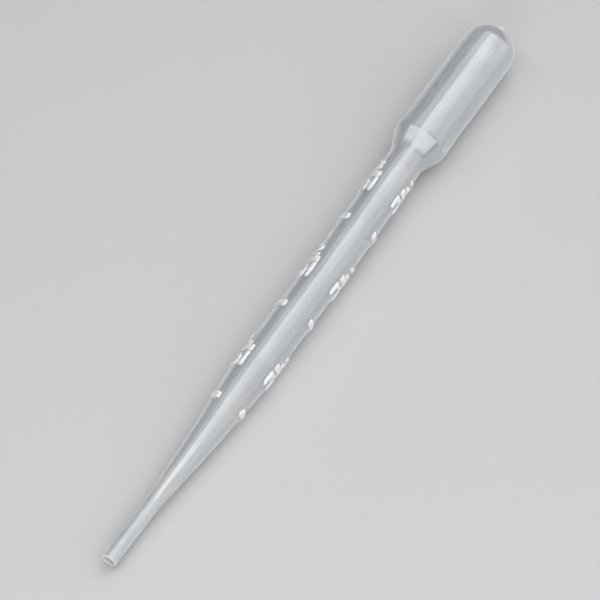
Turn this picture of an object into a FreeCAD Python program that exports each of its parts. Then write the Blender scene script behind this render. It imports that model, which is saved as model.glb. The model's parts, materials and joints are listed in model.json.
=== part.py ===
import FreeCAD, Part

# A graduated plastic dropper (transfer) pipette, blow moulded in one piece from soft polyethylene.
# From the open tip at local X = 0 it runs along +X as a narrow tube, a long cone, the graduated
# stem, a shoulder with a bead, and the bulb, which the mould pinches shut at the crown. The form
# is turned about X and the cavity is turned out of it. The graduations are round-topped ribs
# turned part of the way round, in two opposite rows, and the weld is a low ridge over the crown,
# in the parting plane. The part lies at rest on the plane Z = 0, carried by the corner between
# cone and stem and by the bead. Lengths are in millimetres.

import math
import os

import Sketcher
from FreeCAD import Vector

NODE = "pipette"

DRIVING = (
    ("tip_diameter", 3.2),  # outside of the narrow tube
    ("tip_bore", 2.2),  # inside diameter of the narrow tube
    ("tip_length", 14.4),
    ("cone_length", 32.5),
    ("stem_diameter", 8.3),
    ("stem_wall", 0.56),
    ("neck_drop", 0.17),  # how much the stem's radius shrinks towards the neck
    ("neck_taper", 20.0),  # length over which it shrinks
    ("shoulder_length", 4.9),  # neck to the crest of the bead
    ("bead_rise", 0.12),  # bead's radius above the bulb's
    ("waist_drop", 0.1),  # waist's radius below the bulb's
    ("waist_run", 6.9),  # bead to waist
    ("waist_recovery", 9.0),  # waist to the bulb's full radius
    ("bulb_diameter", 12.0),
    ("bulb_wall", 0.65),
    ("bulb_run", 12.75),  # full-radius length before the dome
    ("shallow_round", 15.0),  # radius at the shallow corners
    ("neck_round", 1.0),  # outer radius in the neck's hollow
    ("bead_round", 1.5),  # outer radius over the bead
    ("division_volume", 500.0),  # cubic millimetres between two graduations on the stem
    ("cone_mark_run", 25.7),  # end of the tube to the lowest graduation, on the cone
    ("first_mark_run", 5.4),  # end of the cone to the first graduation on the stem
    ("last_mark_run", 8.5),  # last graduation to the neck
    ("mark_width", 1.1),
    ("mark_height", 0.4),
    ("mark_root", 0.25),  # how deep in the wall a mark's section starts
    ("whole_mark_arc", 92.0),  # degrees round the stem, at 1, 2 and 3 mL
    ("half_mark_arc", 86.0),  # degrees, at the divisions between
    ("weld_length", 3.0),  # pinch-off weld, in the parting plane
    ("weld_width", 1.3),
    ("weld_height", 0.25),
    ("weld_root", 0.3),  # how deep in the wall its section starts
    ("weld_round", 0.18),
    ("rest_roll", 19.2),  # degrees about its axis, at which one row of raised marks props it
)

WORKED_OUT = (
    ("tip_radius", "tip_diameter / 2"),
    ("bore_radius", "tip_bore / 2"),
    ("stem_radius", "stem_diameter / 2"),
    ("stem_bore_radius", "stem_radius - stem_wall"),
    ("neck_radius", "stem_radius - neck_drop"),
    ("neck_bore_radius", "neck_radius - stem_wall"),
    ("bulb_radius", "bulb_diameter / 2"),
    ("bulb_bore_radius", "bulb_radius - bulb_wall"),
    ("bead_radius", "bulb_radius + bead_rise"),
    ("bead_bore_radius", "bead_radius - bulb_wall"),
    ("waist_radius", "bulb_radius - waist_drop"),
    ("waist_bore_radius", "waist_radius - bulb_wall"),
    # The cavity's roundings run parallel to those outside.
    ("neck_bore_round", "neck_round + stem_wall"),
    ("bead_bore_round", "bead_round - bulb_wall"),
    # Equal volumes between graduations: the stem's bore sets their pitch.
    ("mark_pitch", "division_volume / (pi * stem_bore_radius ^ 2)"),
    ("whole_mark_pitch", "2 * mark_pitch"),
    # Stations along the axis, from the tip's face.
    ("tube_end", "tip_length"),
    ("cone_mark", "tube_end + cone_mark_run"),
    ("cone_end", "tube_end + cone_length"),
    ("first_whole_mark", "cone_end + first_mark_run"),
    ("first_half_mark", "first_whole_mark + mark_pitch"),
    ("last_mark", "first_whole_mark + 2 * whole_mark_pitch"),
    ("neck", "last_mark + last_mark_run"),
    ("taper_start", "neck - neck_taper"),
    ("bead", "neck + shoulder_length"),
    ("waist", "bead + waist_run"),
    ("bulb_start", "waist + waist_recovery"),
    ("dome_centre", "bulb_start + bulb_run"),
    ("cone_mark_radius", "tip_radius + (stem_radius - tip_radius) * cone_mark_run / cone_length"),
    ("weld_foot", "dome_centre + bulb_radius - weld_root"),
    ("weld_section", "weld_root + weld_height"),
    ("weld_arc", "2 * asin(weld_length / (2 * bulb_radius))"),
    # At rest the line under the end of the cone and the bead is level.
    ("rest_tilt", "atan((bead_radius - stem_radius) / (bead - cone_end))"),
    ("rest_height", "stem_radius * cos(rest_tilt) - cone_end * sin(rest_tilt)"),
    ("near_end", "-tip_radius * sin(rest_tilt)"),
    ("far_end", "dome_centre * cos(rest_tilt) + bulb_radius + weld_height"),
    ("rest_shift", "-(near_end + far_end) / 2"),
)

# The corners of the profile: station, then radius and rounding outside and in the cavity.
CORNERS = (
    ("tube_end", ("tip_radius", "shallow_round"), ("bore_radius", "shallow_round")),
    ("cone_end", ("stem_radius", "shallow_round"), ("stem_bore_radius", "shallow_round")),
    ("taper_start", ("stem_radius", None), ("stem_bore_radius", None)),
    ("neck", ("neck_radius", "neck_round"), ("neck_bore_radius", "neck_bore_round")),
    ("bead", ("bead_radius", "bead_round"), ("bead_bore_radius", "bead_bore_round")),
    ("waist", ("waist_radius", None), ("waist_bore_radius", None)),
    ("bulb_start", ("bulb_radius", None), ("bulb_bore_radius", None)),
    ("dome_centre", ("bulb_radius", None), ("bulb_bore_radius", None)),
)
OUTSIDE, CAVITY = 1, 2  # columns of CORNERS

# The graduations: name, station, the wall's radius there, arc, and how many the row holds.
MARKS = (
    ("cone_mark", "cone_mark", "cone_mark_radius", "half_mark_arc", 1),
    ("whole_mark", "first_whole_mark", "stem_radius", "whole_mark_arc", 3),
    ("half_mark", "first_half_mark", "stem_radius", "half_mark_arc", 2),
)

# How a sketch refers to its own origin and axes, and to the points of a line or an arc.
ORIGIN = (-1, 1)
H_AXIS = -1
START, END, CENTRE = 1, 2, 3


def fill_sheet(doc):
    """Puts the driving dimensions, and what follows from them, into one sheet with aliases."""
    sheet = doc.addObject("Spreadsheet::Sheet", "sizes")
    cells = [(alias, str(value)) for alias, value in DRIVING]
    cells += [(alias, f"={formula}") for alias, formula in WORKED_OUT]
    for row, (alias, content) in enumerate(cells, start=1):
        sheet.set(f"A{row}", alias)
        sheet.set(f"B{row}", content)
        sheet.setAlias(f"B{row}", alias)
    doc.recompute()
    return sheet


def origin_feature(body, role):
    """One of the body's own origin planes or axes."""
    return next(feature for feature in body.Origin.OriginFeatures if feature.Role == role)


def new_sketch(body, name, plane):
    sketch = body.newObject("Sketcher::SketchObject", name)
    sketch.AttachmentSupport = (origin_feature(body, plane), [""])
    sketch.MapMode = "FlatFace"
    return sketch


def constrain(sketch, kind, *elements):
    return sketch.addConstraint(Sketcher.Constraint(kind, *elements))


def dimension(sketch, name, kind, elements, value, formula):
    """A dimension that the sheet drives: it starts at value and is bound to formula."""
    sketch.renameConstraint(constrain(sketch, kind, *elements, value), name)
    sketch.setExpression(f"Constraints.{name}", formula)


def round_corner(sketch, name, line, value, formula):
    """Rounds the corner at a line's end with a tangent arc. The corner keeps its dimensions."""
    sketch.fillet(line, END, value, True, True)
    arc = sketch.GeometryCount - 2
    dimension(sketch, name, "Radius", (arc,), value, formula)


def half_outline(body, sheet, name, mouth, wall):
    """Half the outline of one wall: tip face, straight runs between corners, dome and axis."""
    stations = [corner[0] for corner in CORNERS]
    radii = [corner[wall][0] for corner in CORNERS]
    points = [Vector(sheet.get(s), sheet.get(r), 0) for s, r in zip(stations, radii)]
    lip = Vector(0, sheet.get(mouth), 0)
    dome_radius = points[-1].y
    dome_centre = Vector(points[-1].x, 0, 0)
    crown = dome_centre + Vector(dome_radius, 0, 0)

    sketch = new_sketch(body, name, "XZ_Plane")
    path = [Vector(), lip, *points]
    runs = [Part.LineSegment(here, there) for here, there in zip(path, path[1:])]
    circle = Part.Circle(dome_centre, Vector(0, 0, 1), dome_radius)
    sketch.addGeometry([*runs, Part.ArcOfCircle(circle, 0, math.pi / 2)])
    sketch.addGeometry(Part.LineSegment(crown, Vector()))
    dome = len(runs)
    axis = dome + 1

    for run in range(1, dome):
        constrain(sketch, "Coincident", run - 1, END, run, START)
    constrain(sketch, "Coincident", dome - 1, END, dome, END)
    constrain(sketch, "Coincident", dome, START, axis, START)
    constrain(sketch, "Coincident", axis, END, 0, START)
    constrain(sketch, "Coincident", 0, START, *ORIGIN)
    constrain(sketch, "Vertical", 0)
    constrain(sketch, "Horizontal", axis)
    constrain(sketch, "PointOnObject", dome, CENTRE, H_AXIS)
    constrain(sketch, "Vertical", dome, CENTRE, dome, END)

    dimension(sketch, "lip", "DistanceY", (0, START, 0, END), lip.y, f"sizes.{mouth}")
    for run, (station, radius, point) in enumerate(zip(stations, radii, points), start=1):
        corner = (*ORIGIN, run, END)
        dimension(sketch, f"{station}_x", "DistanceX", corner, point.x, f"sizes.{station}")
        dimension(sketch, f"{station}_r", "DistanceY", corner, point.y, f"sizes.{radius}")
    for run, corner in enumerate(CORNERS, start=1):
        rounding = corner[wall][1]
        if rounding:
            name = f"{corner[0]}_round"
            round_corner(sketch, name, run, sheet.get(rounding), f"sizes.{rounding}")
    return sketch


def turn(body, kind, name, sketch, axis, arc=None):
    """Turns a sketch about an axis, right round or by half of the named arc to either side."""
    feature = body.newObject(kind, name)
    feature.Profile = (sketch, [""])
    feature.ReferenceAxis = (sketch, [axis])
    feature.Angle = 360
    if arc:
        feature.Midplane = True
        feature.setExpression("Angle", f"sizes.{arc}")
    return feature


def raise_mark(body, sheet, name, station, surface, arc):
    """A graduation: a round-topped section that starts in the wall, turned part of the way."""
    half = sheet.get("mark_width") / 2
    middle = sheet.get(station)
    root = sheet.get(surface) - sheet.get("mark_root")
    spring = sheet.get(surface) + sheet.get("mark_height") - half
    left, right = middle - half, middle + half

    sketch = new_sketch(body, f"{name}_section", "XY_Plane")
    sketch.addGeometry(Part.LineSegment(Vector(left, root, 0), Vector(right, root, 0)))
    sketch.addGeometry(Part.LineSegment(Vector(right, root, 0), Vector(right, spring, 0)))
    circle = Part.Circle(Vector(middle, spring, 0), Vector(0, 0, 1), half)
    sketch.addGeometry(Part.ArcOfCircle(circle, 0, math.pi))
    sketch.addGeometry(Part.LineSegment(Vector(left, spring, 0), Vector(left, root, 0)))
    foot, far, top, near = range(4)

    constrain(sketch, "Coincident", foot, END, far, START)
    constrain(sketch, "Tangent", far, END, top, START)
    constrain(sketch, "Tangent", top, END, near, START)
    constrain(sketch, "Coincident", near, END, foot, START)
    constrain(sketch, "Horizontal", foot)
    constrain(sketch, "Vertical", far)
    constrain(sketch, "Vertical", near)
    wall = f"sizes.{surface}"
    rise = f"{wall} + sizes.mark_height - sizes.mark_width / 2"
    width = (foot, START, foot, END)
    dimension(sketch, "width", "DistanceX", width, 2 * half, "sizes.mark_width")
    dimension(sketch, "x", "DistanceX", (*ORIGIN, top, CENTRE), middle, f"sizes.{station}")
    dimension(sketch, "root", "DistanceY", (*ORIGIN, foot, END), root, f"{wall} - sizes.mark_root")
    dimension(sketch, "spring", "DistanceY", (*ORIGIN, top, CENTRE), spring, rise)
    return turn(body, "PartDesign::Revolution", name, sketch, "H_Axis", arc)


def repeat_mark(body, mark, count):
    """Repeats a mark along the stem at the pitch of the whole graduations, and on the far side."""
    pattern = body.newObject("PartDesign::MultiTransform", f"{mark.Name}_rows")
    pattern.Originals = [mark]
    steps = []
    if count > 1:
        row = body.newObject("PartDesign::LinearPattern", f"{mark.Name}_row")
        row.Direction = (origin_feature(body, "X_Axis"), [""])
        row.Mode = "Spacing"
        row.Occurrences = count
        row.setExpression("Offset", "sizes.whole_mark_pitch")
        steps.append(row)
    far_side = body.newObject("PartDesign::Mirrored", f"{mark.Name}_far_side")
    far_side.MirrorPlane = (origin_feature(body, "XZ_Plane"), [""])
    steps.append(far_side)
    pattern.Transformations = steps
    body.Tip = pattern


def weld_crown(body, sheet):
    """The pinch-off weld: a low flat ridge that follows the dome over the crown."""
    foot = sheet.get("weld_foot")
    half = sheet.get("weld_width") / 2
    top = foot + sheet.get("weld_section")
    centre = sheet.get("dome_centre")
    corners = [Vector(foot, -half, 0), Vector(foot, half, 0), Vector(top, half, 0), Vector(top, -half, 0)]

    sketch = new_sketch(body, "weld_section", "XY_Plane")
    sides = [Part.LineSegment(a, b) for a, b in zip(corners, corners[1:] + corners[:1])]
    sketch.addGeometry(sides)
    base, right, crest, left = range(4)
    sketch.addGeometry(Part.LineSegment(Vector(centre, 0, 0), Vector(centre, half, 0)), True)
    pivot = 4

    for side in range(4):
        constrain(sketch, "Coincident", side, END, (side + 1) % 4, START)
    for line in (crest, pivot):
        constrain(sketch, "Vertical", line)
    for line in (right, left):
        constrain(sketch, "Horizontal", line)
    constrain(sketch, "Symmetric", base, START, base, END, H_AXIS)
    constrain(sketch, "PointOnObject", pivot, START, H_AXIS)
    constrain(sketch, "Horizontal", pivot, END, base, END)
    dimension(sketch, "foot", "DistanceX", (*ORIGIN, base, START), foot, "sizes.weld_foot")
    dimension(sketch, "width", "DistanceY", (base, START, base, END), 2 * half, "sizes.weld_width")
    dimension(sketch, "section", "DistanceX", (right, START, right, END), top - foot, "sizes.weld_section")
    dimension(sketch, "pivot", "DistanceX", (*ORIGIN, pivot, START), centre, "sizes.dome_centre")
    for number, line in enumerate((right, crest)):
        name = f"corner_{number}"
        round_corner(sketch, name, line, sheet.get("weld_round"), "sizes.weld_round")
    turn(body, "PartDesign::Revolution", "weld", sketch, "Axis0", "weld_arc")


def lay_down(body):
    """Rolls the body about its axis, then tilts it until its two lowest rings are level, on Z = 0."""
    base = "vector(sizes.rest_shift; 0; sizes.rest_height)"
    roll = "rotation(vector(1; 0; 0); sizes.rest_roll)"
    tilt = "rotation(vector(0; -1; 0); sizes.rest_tilt)"
    body.setExpression("Placement", f"placement({base}; {tilt} * {roll})")


doc = FreeCAD.newDocument("dropper_pipette")
sheet = fill_sheet(doc)
body = doc.addObject("PartDesign::Body", NODE)
body.Label = NODE

form = half_outline(body, sheet, "form_outline", "tip_radius", OUTSIDE)
turn(body, "PartDesign::Revolution", "form", form, "H_Axis")
weld_crown(body, sheet)
for name, station, surface, arc, count in MARKS:
    mark = raise_mark(body, sheet, name, station, surface, arc)
    doc.recompute()
    repeat_mark(body, mark, count)
    doc.recompute()
solid_volume = body.Shape.Volume
cavity = half_outline(body, sheet, "cavity_outline", "bore_radius", CAVITY)
turn(body, "PartDesign::Groove", "cavity", cavity, "H_Axis")
lay_down(body)
doc.recompute()

failed = [item.Name for item in doc.Objects if {"Invalid", "Error"} & set(item.State)]
if failed:
    raise RuntimeError(f"features that failed: {failed}")
if body.Shape.isNull() or not body.Shape.isValid() or len(body.Shape.Solids) != 1:
    raise RuntimeError("the body is not one valid solid")
if body.Shape.Volume > 0.5 * solid_volume:
    raise RuntimeError("the cavity was not cut")

os.makedirs("parts", exist_ok=True)
body.Shape.exportStep(f"parts/{body.Label}.step")
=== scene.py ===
import json
import math

import bmesh
import bpy
from mathutils import Matrix, Vector, noise


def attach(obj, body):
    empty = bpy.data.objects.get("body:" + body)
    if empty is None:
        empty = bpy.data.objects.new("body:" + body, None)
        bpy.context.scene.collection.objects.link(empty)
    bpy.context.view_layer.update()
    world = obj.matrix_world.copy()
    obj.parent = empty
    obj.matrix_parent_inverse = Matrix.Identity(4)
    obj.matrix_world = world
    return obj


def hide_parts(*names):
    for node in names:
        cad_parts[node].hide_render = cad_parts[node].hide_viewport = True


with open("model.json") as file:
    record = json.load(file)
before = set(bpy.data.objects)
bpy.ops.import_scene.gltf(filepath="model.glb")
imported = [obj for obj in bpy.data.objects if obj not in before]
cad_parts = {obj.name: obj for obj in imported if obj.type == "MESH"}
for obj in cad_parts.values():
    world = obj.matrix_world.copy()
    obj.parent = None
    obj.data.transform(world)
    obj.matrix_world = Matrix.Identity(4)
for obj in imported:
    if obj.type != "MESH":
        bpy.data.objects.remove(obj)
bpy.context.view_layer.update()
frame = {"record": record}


# The pipette's wall. It is one moulding of natural low-density polyethylene, half a millimetre thick:
# a soft tube of plastic is blown out against two mould halves, pinched shut at the crown and cut off
# at the tip. Its sizes are in millimetres along its own axis, from the cut face of the tip.
mounts = {mount["name"]: mount for mount in frame["record"]["mounts"]}
TIP_RADIUS = mounts["tip_spigot"]["dims"]["r_mm"]
BORE_RADIUS = mounts["tip_bore"]["dims"]["r_mm"]
BULB_RADIUS = mounts["bulb"]["dims"]["r_mm"]
STEM_RADIUS = 4.15
STEM_WALL = 0.56
BULB_WALL = 0.65
DOME_CENTRE = 143.746
DOME_TURNS = ((60, 14), (30, 20))  # degrees and steps, closer together near the crown
CORNERS = (  # station, radius outside, wall, half the length of the rounding
    (0.0, TIP_RADIUS, TIP_RADIUS - BORE_RADIUS, 0.0),
    (14.4, TIP_RADIUS, TIP_RADIUS - BORE_RADIUS, 1.6),
    (46.9, STEM_RADIUS, STEM_WALL, 1.4),
    (90.2, STEM_RADIUS, STEM_WALL, 3.0),
    (110.196, STEM_RADIUS - 0.17, STEM_WALL, 0.3),
    (115.096, BULB_RADIUS + 0.12, BULB_WALL, 0.45),
    (121.996, BULB_RADIUS - 0.1, BULB_WALL, 2.5),
    (130.996, BULB_RADIUS, BULB_WALL, 2.5),
    (DOME_CENTRE, BULB_RADIUS, BULB_WALL, 0.0),
)
LIP_END, LIP_ROUND = 0.5, 0.09
MILLILITRE_MARKS = {52.3: "1", 77.0: "2", 101.7: "3"}
HALF_MARKS = (40.1, 64.65, 89.35)
WHOLE_REACH, HALF_REACH = 5.2, 1.0
MARK_ZONES = [(station - WHOLE_REACH, station + WHOLE_REACH) for station in MILLILITRE_MARKS]
MARK_ZONES += [(station - HALF_REACH, station + HALF_REACH) for station in HALF_MARKS]
COLUMNS = 180
FINE_ROW, LIP_ROW, OUTER_ROW, INNER_ROW = 0.16, 0.25, 1.1, 2.0
TINY, MERGED, SAME_RIM = 1e-6, 1e-4, 0.1


def wall_radius(station, inner):
    """The radius of the outer or the inner face, with each corner rounded off."""
    radii = [outside - wall * inner for _, outside, wall, _ in CORNERS]
    slopes = [
        (radii[i + 1] - radii[i]) / (CORNERS[i + 1][0] - CORNERS[i][0]) for i in range(len(CORNERS) - 1)
    ]
    run = max(i for i in range(len(slopes)) if station >= CORNERS[i][0] or i == 0)
    radius = radii[run] + slopes[run] * (station - CORNERS[run][0])
    for i in range(1, len(slopes)):
        half = CORNERS[i][3]
        past = abs(station - CORNERS[i][0])
        if past < half:
            radius += (slopes[i] - slopes[i - 1]) * (half - past) ** 2 / (4 * half)
    return radius


def row_stops(inner):
    """The stations at which the spacing of the rows changes, each with the spacing from there on."""
    plain_row = INNER_ROW if inner else OUTER_ROW
    stops = {0.0: LIP_ROW, LIP_END: plain_row, DOME_CENTRE: plain_row}
    for start, end in [] if inner else MARK_ZONES:
        stops |= {start: FINE_ROW, end: plain_row}
    for station, _, _, half in CORNERS[1:-1]:
        in_marks = any(start <= station + half and end >= station - half for start, end in MARK_ZONES)
        if inner or not in_marks:
            curve_row = half / 2 if inner else max(half / 4, FINE_ROW)
            stops |= {station - half: curve_row, station + half: plain_row}
    return stops


def profile_line(mesh, face_of, inner):
    """Draws one face of the wall as a line of points, from the mouth to the crown. Gives its first point."""
    stops = row_stops(inner)
    stations = sorted(stops)
    known = set(mesh.verts)
    first = rim = mesh.verts.new((0, 0, 0))
    for start, end in zip(stations, stations[1:]):
        rows = math.ceil((end - start) / stops[start])
        for row in range(rows):
            rim = bmesh.ops.extrude_vert_indiv(mesh, verts=[rim])["verts"][0]
            rim.co.x = start + (end - start) * (row + 1) / rows
    for point in set(mesh.verts) - known:
        point.co.y = wall_radius(point.co.x, inner)
    for angle, steps in DOME_TURNS:
        turned = bmesh.ops.spin(
            mesh,
            geom=[rim],
            cent=(DOME_CENTRE, 0, 0),
            axis=(0, 0, -1),
            angle=math.radians(angle),
            steps=steps,
        )
        rim = next(item for item in turned["geom_last"] if isinstance(item, bmesh.types.BMVert))
    for point in set(mesh.verts) - known:
        point[face_of] = inner
    return first


pipette_mesh = bmesh.new()
face_of = pipette_mesh.verts.layers.int.new("face")
matt = pipette_mesh.verts.layers.float.new("matt")
own_mm = pipette_mesh.verts.layers.float_vector.new("own_mm")
mouth = [profile_line(pipette_mesh, face_of, inner) for inner in (0, 1)]
pipette_mesh.edges.new(mouth)
bmesh.ops.spin(
    pipette_mesh,
    geom=pipette_mesh.verts[:] + pipette_mesh.edges[:],
    axis=(1, 0, 0),
    angle=2 * math.pi,
    steps=COLUMNS,
    use_merge=True,
)
bmesh.ops.remove_doubles(pipette_mesh, verts=pipette_mesh.verts, dist=MERGED)
bmesh.ops.recalc_face_normals(pipette_mesh, faces=pipette_mesh.faces)
lip_rims = [
    edge
    for edge in pipette_mesh.edges
    if all(abs(point.co.x) < TINY for point in edge.verts)
    and abs(edge.verts[0].co.yz.length - edge.verts[1].co.yz.length) < SAME_RIM
]
bmesh.ops.bevel(
    pipette_mesh,
    geom=lip_rims,
    offset=LIP_ROUND,
    offset_type="OFFSET",
    segments=2,
    profile=0.5,
    affect="EDGES",
    material=-1,
)


# The raised marks stand on two opposite sides of the stem, cut into the mould halves: a short line at
# each half millilitre, and at each whole one a line with its numeral above and the unit below it, read
# with the tip down. They are soft-edged, because blown plastic never fills a sharp groove.
MARK_HEIGHT, MARK_REACH = 0.36, 5.3
BARE_SIDE = 0.3  # how near the parting plane the wall stays bare, as a share of the stem's radius
STROKE_TOP, STROKE_FOOT = 0.29, 0.52
RIM_PULL = 0.07
WANDER, WANDER_PITCH, WANDER_SEED = 0.16, 1.8, 5
CRINKLE_LEVEL, CRINKLE, CRINKLE_PITCH = 0.75, 0.6, 1.9
LINE_SPREAD = 0.32
HALF_ARC, WHOLE_ARC = math.radians(37), math.radians(39)
GLYPHS = {
    "1": [[(0.16, 0.74), (0.52, 1), (0.52, 0)], [(0.1, 0), (0.94, 0)]],
    "2": [
        [(0, 0.76), (0.1, 0.92), (0.32, 1), (0.68, 1), (0.9, 0.92), (1, 0.74), (0.92, 0.56)],
        [(0.92, 0.56), (0.62, 0.36), (0, 0), (1, 0)],
    ],
    "3": [
        [(0, 0.86), (0.2, 0.97), (0.5, 1), (0.82, 0.95), (0.96, 0.78), (0.82, 0.6), (0.42, 0.54)],
        [(0.82, 0.5), (1, 0.27), (0.84, 0.06), (0.5, 0), (0.18, 0.04), (0, 0.16)],
    ],
    "m": [
        [(0, 0), (0, 1)],
        [(0, 0.72), (0.14, 0.97), (0.36, 0.97), (0.5, 0.72), (0.5, 0)],
        [(0.5, 0.72), (0.64, 0.97), (0.86, 0.97), (1, 0.72), (1, 0)],
    ],
    "l": [[(0, 0), (0, 1)]],
}
ROW_SHIFT = 0.35
NUMERAL_BOX = (-1.65, 1.35, 4.0, 2.55)  # left, foot, width and height
UNIT_BOXES = {"m": (-2.75, -4.3, 4.5, 2.5), "l": (3.22, -4.3, 0, 2.95)}


def share(place, start, end):
    """How far a place is from the start to the end, from 0 to 1."""
    return min(max((place - start) / (end - start), 0), 1)


def ease(rise):
    """Rounds off the foot and the top of a rise from 0 to 1."""
    return rise * rise * (3 - 2 * rise)


def uneven(level, reach, spot):
    """A level that noise raises and lowers from spot to spot, up to 1."""
    return min(level + reach * noise.noise(spot), 1)


def glyph_strokes(glyph, box):
    """The straight strokes of one raised glyph, placed in its box."""
    left, foot, width, height = box
    for line in GLYPHS[glyph]:
        placed = [Vector((left + x * width, foot + y * height)) for x, y in line]
        yield from zip(placed, placed[1:])


def line_strokes(arc, radius):
    """The two strokes, side by side, that make up a graduation line."""
    for offset in (-LINE_SPREAD, LINE_SPREAD):
        yield Vector((ROW_SHIFT - arc * radius, offset)), Vector((ROW_SHIFT + arc * radius, offset))


def way_off(spot, strokes):
    """The way to a spot from the nearest place on the strokes."""
    ways = []
    for start, end in strokes:
        run = end - start
        ways.append(spot - start - run * share((spot - start).dot(run), 0, run.length_squared))
    return min(ways, key=lambda way: way.length)


MARKS = {station: list(line_strokes(HALF_ARC, wall_radius(station, 0))) for station in HALF_MARKS}
for station, numeral in MILLILITRE_MARKS.items():
    MARKS[station] = list(line_strokes(WHOLE_ARC, STEM_RADIUS)) + list(glyph_strokes(numeral, NUMERAL_BOX))
    for letter, box in UNIT_BOXES.items():
        MARKS[station] += glyph_strokes(letter, box)
noise.seed_set(WANDER_SEED)
foot_points = []
for point in pipette_mesh.verts:
    x, y, z = point.co
    near = [station for station in MARKS if abs(x - station) < MARK_REACH]
    if point[face_of] or not near or abs(y) < BARE_SIDE * STEM_RADIUS:
        continue
    radius = math.hypot(y, z)
    side = math.copysign(1, y)
    spot = Vector((side * math.atan2(z, abs(y)) * radius, x - near[0]))
    way = way_off(spot + noise.noise_vector(point.co * WANDER_PITCH).xy * WANDER, MARKS[near[0]])
    distance = way.length
    rim = min((STROKE_TOP, STROKE_FOOT), key=lambda edge: abs(edge - distance))
    if abs(rim - distance) < RIM_PULL:
        spot += way * (rim / distance - 1)
        distance = rim
        if rim == STROKE_FOOT:
            foot_points.append(point)
    rise = share(distance, STROKE_FOOT, STROKE_TOP)
    crinkle = uneven(CRINKLE_LEVEL, CRINKLE, point.co * CRINKLE_PITCH)
    turn = spot.x / radius
    outward = Vector((0, math.cos(turn), math.sin(turn))) * side
    height = radius + MARK_HEIGHT * crinkle * ease(rise)
    point.co = Vector((near[0] + spot.y, 0, 0)) + outward * height
    point[matt] = rise
bmesh.ops.connect_verts(pipette_mesh, verts=foot_points)


# The moulding's own irregularities: the wall's uneven thickness, with lines along it from the die and
# ripples where it is blown the furthest, the rough bar of the pinch-off weld on the crown with a bead
# of plastic inside it, and the burr of the knife at the mouth.
INNER_SWAY, INNER_PITCH, INNER_SHIFT = 0.02, (0.06, 0.9), 40
OUTER_SWAY, OUTER_PITCH, OUTER_SINK = 0.016, (0.15, 1.5), 1
DIE_LINE, DIE_PITCH = 0.003, (0.02, 8)
RIPPLE, RIPPLE_PITCH, RIPPLE_SINK = 0.1, 0.36, 0.5
RIPPLE_GAINS = ((106, 111, 1.7), (115, 124, -1.3), (136, 143, 0.6))  # from, to and by how much
WELD_HALF, WELD_EDGE = Vector((0.65, 4.3)), 0.3
WELD_SLANT = 0.1
WELD_HEIGHT = 0.25
WELD_FLATNESS = 0.012  # how much it gains on the dome, per square millimetre off the crown
WELD_LEVEL, WELD_ROUGHNESS, WELD_PITCH, WELD_SLICE = 0.7, 0.7, 2.6, 7
BEAD_DEPTH, BEAD_HALF, BEAD_TRIM = 1.0, Vector((0.9, 1.5)), 0.05
BURR, BURR_END = 0.1, 0.2
BURR_LEVEL, BURR_ROUGHNESS, BURR_PITCH, BURR_SLICE = 0.5, 0.5, 4, 3


def wall_noise(station, around, pitch, shift=0):
    """Noise over the wall, with so many lumps in a millimetre along it and in a radius round it."""
    return noise.noise(Vector((station * pitch[0] + shift, around.x * pitch[1], around.y * pitch[1])))


for point in pipette_mesh.verts:
    point[own_mm] = point.co
    x, y, z = point.co
    radius = math.hypot(y, z)
    around = Vector((0, 1)) if radius < TINY else Vector((y, z)) / radius
    if point[face_of]:
        sway = INNER_SWAY * wall_noise(x, around, INNER_PITCH, INNER_SHIFT)
    else:
        sway = OUTER_SWAY * (wall_noise(x, around, OUTER_PITCH) - OUTER_SINK)
        sway += DIE_LINE * wall_noise(x, around, DIE_PITCH)
        blown = sum(share(x, start, end) * gain for start, end, gain in RIPPLE_GAINS)
        sway += RIPPLE * blown * (noise.noise(point.co * RIPPLE_PITCH) - RIPPLE_SINK)
    sway *= min(radius / STEM_RADIUS, 1)
    point.co.yz = around * (radius + sway)
    if x > DOME_CENTRE:
        over = max(abs(y - z * WELD_SLANT) - WELD_HALF.x, abs(z) - WELD_HALF.y)
        rise = share(over, WELD_EDGE / 2, -WELD_EDGE / 2)
        rough = uneven(WELD_LEVEL, WELD_ROUGHNESS, Vector((y * WELD_PITCH, z * WELD_PITCH, WELD_SLICE)))
        if point[face_of]:
            rise = max(math.exp(-((y / BEAD_HALF.x) ** 2) - (z / BEAD_HALF.y) ** 2) - BEAD_TRIM, 0)
            point.co.x -= BEAD_DEPTH * rise * rough
        else:
            point.co.x += (WELD_HEIGHT + WELD_FLATNESS * z * z) * rise * rough
        point[matt] = max(point[matt], rise)
    if x < BURR_END:
        edge_spot = Vector((around.x * BURR_PITCH, around.y * BURR_PITCH, BURR_SLICE))
        cut = uneven(BURR_LEVEL, BURR_ROUGHNESS, edge_spot)
        point.co.x += BURR * cut * (1 - x / BURR_END)
        point[matt] = 1 - x / BURR_END


# The pipette as it lies on the bench: on the end of its cone and on the bead below its bulb, rolled
# until the raised unit letters of one row touch the bench. A tube this soft is never quite straight,
# so its stem is bowed a little to one side.
ROLL = math.radians(19.2)
BOW, BOW_FULL, BOW_FADE, BOW_END = 0.6, 36, 73, 113
MM = 0.001
mouth_centre = Vector(mounts["tip_bore"]["pos_m"])
along = -Vector(mounts["tip_bore"]["axis"])
lying = (
    Matrix.Translation(mouth_centre)
    @ Vector((1, 0, 0)).rotation_difference(along).to_matrix().to_4x4()
    @ Matrix.Rotation(ROLL, 4, "X")
    @ Matrix.Scale(MM, 4)
)
stations = [point.co.x for point in pipette_mesh.verts]
bmesh.ops.transform(pipette_mesh, matrix=lying, verts=pipette_mesh.verts)
for station, point in zip(stations, pipette_mesh.verts):
    point.co.y -= BOW * MM * ease(share(station, 0, BOW_FULL) * share(station, BOW_END, BOW_FADE))
pipette_data = bpy.data.meshes.new("pipette_moulding")
pipette_mesh.to_mesh(pipette_data)
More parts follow.
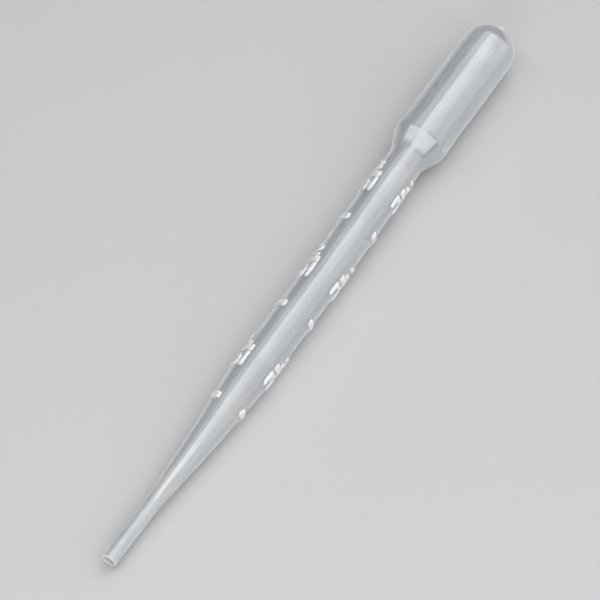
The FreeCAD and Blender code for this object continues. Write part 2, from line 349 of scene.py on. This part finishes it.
pipette_mesh.free()
pipette_data.shade_smooth()
pipette = bpy.data.objects.new("pipette_moulding", pipette_data)
bpy.context.scene.collection.objects.link(pipette)
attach(pipette, "root")
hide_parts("pipette")


# The plastic itself. It has no pigment: where it is blown thin it is a clear milky skin with the gloss
# of the mould, and where it stays thick, at the raised marks, the weld and the cut lip, it turns white.
# Fine lines run along it from the die, and a parting line shows where the mould halves meet.
CLOUDS = ((0.5, 1, 1), 0.16, 2)  # each noise's stretch, lumps per millimetre and detail
DIE_LINES = ((0.02, 1, 1), 2.2, 3)
PEEL = ((0.2, 1, 1), 0.7, 2)
GRIT = ((1, 1, 1), 2.4, 3)
RIPPLES = ((1, 1, 1), 0.4, 2)
SEAM_BREAKS = ((1, 0, 0), 0.12, 1)
CLOUD_STEP, SEAM_STEP, BREAK_STEP, SEAM_END = (0.3, 0.7), (0.08, 0.3), (0.3, 0.5), (98, 110)
SHOULDER_START, BULB_START, DOME_START, BULB_CALM = (106, 112), (117, 123), (136, 143), 0.7
PEEL_DEPTH, LINE_DEPTH, RIPPLE_DEPTH, GRIT_DEPTH, SEAM_HEIGHT = 0.014, 0.016, 0.1, 0.3, 0.08
LINE_ROUGHNESS, FROST_ROUGHNESS = 0.06, 0.12
FROST_WHITE = (0.98, 0.985, 0.99, 1)
SKIN = {
    "IOR": 1.51,
    "Specular IOR Level": 1,
    "Coat Weight": 1,
    "Coat Roughness": 0.13,
    "Coat IOR": 1.6,
    "Sheen Weight": 0.8,
    "Sheen Roughness": 0.3,
}
THICK_SKIN = {"Subsurface Weight": 0.7, "Subsurface Radius": (1, 1, 1), "Subsurface Scale": 0.001}


class Link:
    """The output of a shader node, on which sums are written as they are on numbers."""

    def __init__(self, tree, socket=None):
        self.tree = tree
        self.socket = socket

    def node(self, kind, settings, inputs, output=0):
        """Adds a node. Its settings come first, and then the values or links of its sockets."""
        made = self.tree.nodes.new(kind)
        for name, value in settings.items():
            setattr(made, name, value)
        for name, value in inputs.items():
            self.feed(made.inputs[name], value)
        return Link(self.tree, made.outputs[output])

    def feed(self, socket, value):
        """Gives a socket its value or its link."""
        if isinstance(value, Link):
            self.tree.links.new(value.socket, socket)
        else:
            socket.default_value = value

    def math(self, operation, first, second):
        """Adds a Math node."""
        return self.node("ShaderNodeMath", {"operation": operation}, {0: first, 1: second})

    def __add__(self, other):
        return self.math("ADD", self, other)

    def __sub__(self, other):
        return self.math("SUBTRACT", self, other)

    def __rsub__(self, other):
        return self.math("SUBTRACT", other, self)

    def __mul__(self, other):
        return self.math("MULTIPLY", self, other)

    __radd__ = __add__
    __rmul__ = __mul__

    def step(self, low, high):
        """A soft step from 0 at the low value to 1 at the high one."""
        return self.node(
            "ShaderNodeMapRange",
            {"interpolation_type": "SMOOTHSTEP"},
            {"Value": self, "From Min": low, "From Max": high},
        )

    def noise(self, stretch, scale, detail):
        """Noise on these coordinates, in lumps per millimetre, stretched along each axis."""
        stretched = self.node("ShaderNodeVectorMath", {"operation": "MULTIPLY"}, {0: self, 1: stretch})
        return self.node(
            "ShaderNodeTexNoise", {}, {"Vector": stretched, "Scale": scale, "Detail": detail}
        )

    def blend(self, first, second):
        """A colour between two, with this as the share of the second."""
        return self.node(
            "ShaderNodeMix", {"data_type": "RGBA"}, {"Factor": self, "A": first, "B": second}, "Result"
        )


def moulded_plastic(name, transmission, light, dark, roughness, more):
    """Gives the pipette a plastic: clouds of thickness, die lines, ripples and a fine parting line."""
    plastic = bpy.data.materials.new(name)
    plastic.use_nodes = True
    tree = Link(plastic.node_tree)
    skin = plastic.node_tree.nodes["Principled BSDF"]
    place = tree.node("ShaderNodeAttribute", {"attribute_name": "own_mm"}, {}, "Vector")
    frosted = tree.node("ShaderNodeAttribute", {"attribute_name": "matt"}, {}, "Fac")
    along_part = tree.node("ShaderNodeSeparateXYZ", {}, {"Vector": place}, "X")
    across = tree.node("ShaderNodeSeparateXYZ", {}, {"Vector": place}, "Y")
    off_line = across.math("ABSOLUTE", across, 0)
    streak = place.noise(*DIE_LINES)
    seam = (1 - off_line.step(*SEAM_STEP)) * place.noise(*SEAM_BREAKS).step(*BREAK_STEP)
    seam = seam * (1 - along_part.step(*SEAM_END))
    blown_far = along_part.step(*SHOULDER_START) - along_part.step(*BULB_START) * BULB_CALM
    blown_far = blown_far + along_part.step(*DOME_START) * BULB_CALM
    body_colour = place.noise(*CLOUDS).step(*CLOUD_STEP).blend(dark, light)
    tree.feed(skin.inputs["Base Color"], frosted.blend(body_colour, FROST_WHITE))
    tree.feed(skin.inputs["Roughness"], roughness + streak * LINE_ROUGHNESS + frosted * FROST_ROUGHNESS)
    height = place.noise(*PEEL) * PEEL_DEPTH + streak * LINE_DEPTH
    height = height + place.noise(*RIPPLES) * blown_far * RIPPLE_DEPTH
    height = height + place.noise(*GRIT) * frosted * GRIT_DEPTH + seam * SEAM_HEIGHT
    tree.feed(skin.inputs["Normal"], tree.node("ShaderNodeBump", {}, {"Height": height, "Distance": MM}))
    for socket, value in ({"Transmission Weight": transmission} | SKIN | more).items():
        skin.inputs[socket].default_value = value
    pipette_data.materials.append(plastic)


moulded_plastic(
    "milky_polyethylene",
    transmission=0.76,
    light=(0.945, 0.952, 0.955, 1),
    dark=(0.86, 0.895, 0.93, 1),
    roughness=0.07,
    more={},
)
moulded_plastic(
    "thick_polyethylene",
    transmission=0.12,
    light=(0.97, 0.975, 0.98, 1),
    dark=(0.93, 0.945, 0.955, 1),
    roughness=0.14,
    more=THICK_SKIN,
)
thickness = pipette_data.attributes["matt"].data
for face in pipette_data.polygons:
    face.material_index = sum(thickness[point].value for point in face.vertices) > 0


# The bench is a plain pale surface, matt all over. It stands for the table that the pipette lies on,
# and it reaches well past the camera's view on every side.
BENCH_SIZE = 6
BENCH_COLOUR, BENCH_ROUGHNESS = (0.53, 0.535, 0.54, 1), 0.8
bpy.ops.mesh.primitive_plane_add(size=BENCH_SIZE)
floor = bpy.context.object
floor.name = "floor"
floor_finish = bpy.data.materials.new("floor")
floor_finish.use_nodes = True
floor_skin = floor_finish.node_tree.nodes["Principled BSDF"]
floor_skin.inputs["Base Color"].default_value = BENCH_COLOUR
floor_skin.inputs["Roughness"].default_value = BENCH_ROUGHNESS
floor.data.materials.append(floor_finish)


# The studio's lamps: soft boxes that hang along the pipette, for the broad bright streak on it and the
# patch on its shoulder, a round one beyond the tip, and a dim even surround. Sizes are in metres.
SOFT_BOXES = (  # name, lean to the near side, offset, distance, length, width and brightness
    ("ceiling", -26, 0.6, 0.8, 1.0, 0.4, 0.7),
    ("streak", 3.5, 0.6, 0.8, 1.0, 0.474, 2.0),
    ("streak_edge", 29, 0.6, 0.8, 1.0, 0.25, 1.5),
    ("near_side", 65, 0.6, 0.8, 1.0, 0.83, 0.98),
    ("shoulder", 13, -0.214, 0.5, 0.26, 2.0, 2.25),
    ("bead", 8, -0.01, 0.5, 0.15, 0.32, 2.0),
)
FRONT_PLACE, FRONT_SIZE, FRONT_BRIGHTNESS = (-0.55, -0.2, 0.3), 0.3, 4.7
SURROUND_COLOUR, SURROUND_STRENGTH = (0.75, 0.86, 1, 1), 0.1


def aim(thing, place, target):
    """Puts a light or the camera in place, looking at the target."""
    thing.location = place
    thing.rotation_euler = (Vector(target) - Vector(place)).to_track_quat("-Z", "Y").to_euler()


for name, lean, offset, distance, length, width, brightness in SOFT_BOXES:
    box = bpy.data.objects.new(name, bpy.data.lights.new(name, "AREA"))
    box.data.shape = "RECTANGLE"
    box.data.size, box.data.size_y = length, width
    box.data.energy = brightness * math.pi * length * width
    angle = math.radians(lean)
    box.location = (offset, -distance * math.sin(angle), distance * math.cos(angle))
    box.rotation_euler = (angle, 0, 0)
    bpy.context.scene.collection.objects.link(box)
front = bpy.data.objects.new("front", bpy.data.lights.new("front", "AREA"))
front.data.shape = "DISK"
front.data.size = FRONT_SIZE
front.data.energy = FRONT_BRIGHTNESS * math.pi * math.pi * (FRONT_SIZE / 2) ** 2
bpy.context.scene.collection.objects.link(front)
aim(front, FRONT_PLACE, (0, 0, 0))

world = bpy.data.worlds.new("studio")
world.use_nodes = True
world.node_tree.nodes["Background"].inputs["Color"].default_value = SURROUND_COLOUR
world.node_tree.nodes["Background"].inputs["Strength"].default_value = SURROUND_STRENGTH
bpy.context.scene.world = world


# The camera looks down on the pipette from beyond its tip, a little to the near side, with the tip at
# the lower left and the bulb at the upper right.
VIEW_AZIMUTH, VIEW_ELEVATION = math.radians(-148.16), math.radians(54.7)
VIEW_DISTANCE = 0.5147
SENSOR_MM, LENS_MM = 36, 153.4
MIDDLE, TARGET_LEFT, TARGET_DOWN = 0.075, 0.00364, 0.00426
camera = bpy.data.objects.new("camera", bpy.data.cameras.new("camera"))
camera.data.sensor_width = SENSOR_MM
camera.data.lens = LENS_MM
bpy.context.scene.collection.objects.link(camera)
view = Vector((math.cos(VIEW_AZIMUTH), math.sin(VIEW_AZIMUTH), math.tan(VIEW_ELEVATION))).normalized()
right = Vector((0, 0, 1)).cross(view).normalized()
target = mouth_centre + along * MIDDLE - right * TARGET_LEFT - view.cross(right) * TARGET_DOWN
aim(camera, target + view * VIEW_DISTANCE, target)
bpy.context.scene.camera = camera
bpy.context.scene.view_settings.view_transform = "Standard"
